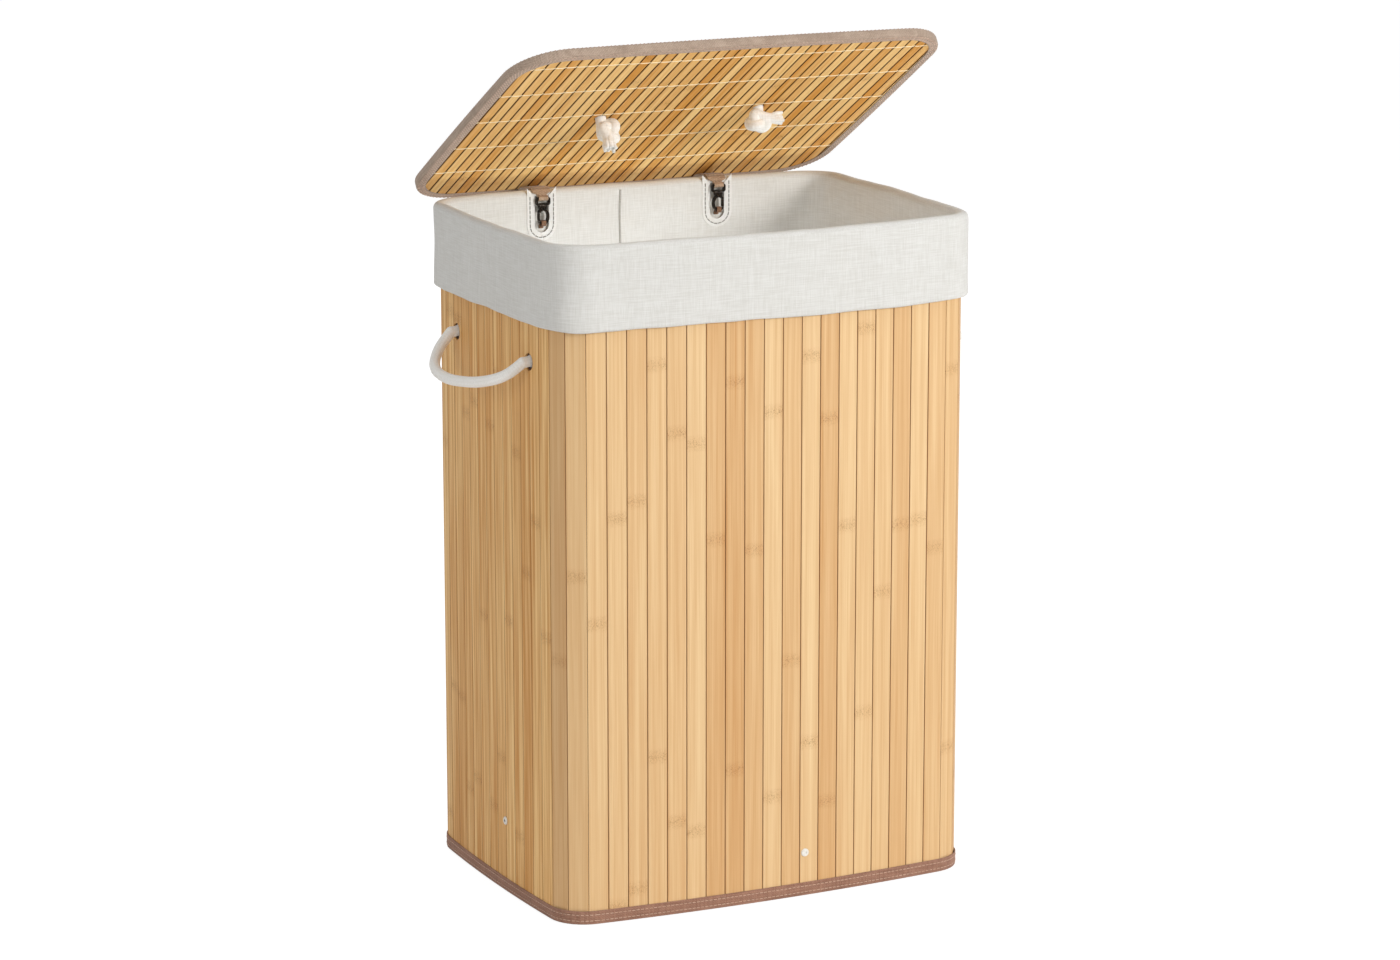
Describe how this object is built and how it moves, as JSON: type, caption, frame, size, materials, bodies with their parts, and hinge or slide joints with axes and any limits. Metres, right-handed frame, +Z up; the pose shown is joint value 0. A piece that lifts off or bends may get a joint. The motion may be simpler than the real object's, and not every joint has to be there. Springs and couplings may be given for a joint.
{
  "type": "laundry hamper with lid",
  "caption": "Rectangular bamboo-slat laundry hamper with fabric liner and cuff, rope handles and a taped bamboo lid hinged on webbing straps.",
  "frame": {"origin": "on the floor under the middle of the body", "axes": "+Z up, the front towards -Y, the lid's hinge side towards +Y, +X to the right seen from the front"},
  "size_m": [0.4772, 0.3403, 0.7444],
  "materials": {
    "bamboo_wall": "satin varnished bamboo",
    "bamboo_stick": "satin bamboo",
    "board": "matt board",
    "backing_cloth": "plain woven",
    "taupe_tape": "twill tape",
    "taupe_webbing": "webbing",
    "liner_linen": "matt linen weave",
    "facing_cloth": "smooth bias tape",
    "dark_steel": "gunmetal plating",
    "rivet_plastic": "semi-matt",
    "cotton_rope": "twisted cotton"
  },
  "bodies": {
    "hamper": {"back_left_corner_slats": "bamboo_wall", "back_right_corner_slats": "bamboo_wall", "back_slats": "bamboo_wall", "base_board": "board", "base_tray": "backing_cloth", "bottom_binding": "taupe_tape", "front_left_corner_slats": "bamboo_wall", "front_right_corner_slats": "bamboo_wall", "front_slats": "bamboo_wall", "handle_knots_left": "cotton_rope", "handle_knots_right": "cotton_rope", "hook_body_left": "dark_steel", "hook_body_right": "dark_steel", "left_slats": "bamboo_wall", "liner": "liner_linen", "notch_facing_left": "facing_cloth", "notch_facing_right": "facing_cloth", "right_slats": "bamboo_wall", "rivets": "rivet_plastic", "sewn_strap_left": "taupe_webbing", "sewn_strap_right": "taupe_webbing", "swivel_eye_left": "dark_steel", "swivel_eye_right": "dark_steel", "top_binding": "taupe_tape", "wall_backing": "backing_cloth", "wall_tab_left": "taupe_webbing", "wall_tab_right": "taupe_webbing"},
    "straps": {"hinge_strap_left": "taupe_webbing", "hinge_strap_right": "taupe_webbing"},
    "lid": {"lid_binding": "taupe_tape", "lid_core": "board", "lid_slats": "bamboo_wall", "lid_sticks": "bamboo_stick", "lid_knots": "cotton_rope"},
    "lid_handle": {"lid_handle_rope": "cotton_rope"},
    "left_handle": {"handle_rope_left": "cotton_rope"},
    "right_handle": {"handle_rope_right": "cotton_rope"},
    "left_gate": {"hook_gate_left": "dark_steel"},
    "right_gate": {"hook_gate_right": "dark_steel"}
  },
  "joints": [
    {"name": "lid_lean", "type": "hinge", "parent": "hamper", "child": "straps", "pos_m": [0, 0.149, 0.5828], "axis": [1, 0, 0], "range_deg": [-68, 0], "deforming": ["hinge_strap_left", "hinge_strap_right"]},
    {"name": "lid_close", "type": "hinge", "parent": "straps", "child": "lid", "pos_m": [0, 0.1489, 0.538], "axis": [1, 0, 0], "range_deg": [0, 30.3], "deforming": ["hinge_strap_left", "hinge_strap_right"]},
    {"name": "lid_handle_swing", "type": "hinge", "parent": "lid", "child": "lid_handle", "pos_m": [0, 0.04407, 0.67553], "axis": [1, 0, 0], "range_deg": [0, 80]},
    {"name": "left_handle_swing", "type": "hinge", "parent": "hamper", "child": "left_handle", "pos_m": [-0.20289, 0, 0.4805], "axis": [0, 1, 0], "range_deg": [0, 110]},
    {"name": "right_handle_swing", "type": "hinge", "parent": "hamper", "child": "right_handle", "pos_m": [0.20289, 0, 0.4805], "axis": [0, -1, 0], "range_deg": [0, 110]},
    {"name": "left_gate_press", "type": "hinge", "parent": "hamper", "child": "left_gate", "pos_m": [-0.0912, 0.13874, 0.5618], "axis": [0, 1, 0], "range_deg": [0, 25], "stiffness_Nm_per_rad": 0.01},
    {"name": "right_gate_press", "type": "hinge", "parent": "hamper", "child": "right_gate", "pos_m": [0.0912, 0.13874, 0.5618], "axis": [0, -1, 0], "range_deg": [0, 25], "stiffness_Nm_per_rad": 0.01}
  ]
}
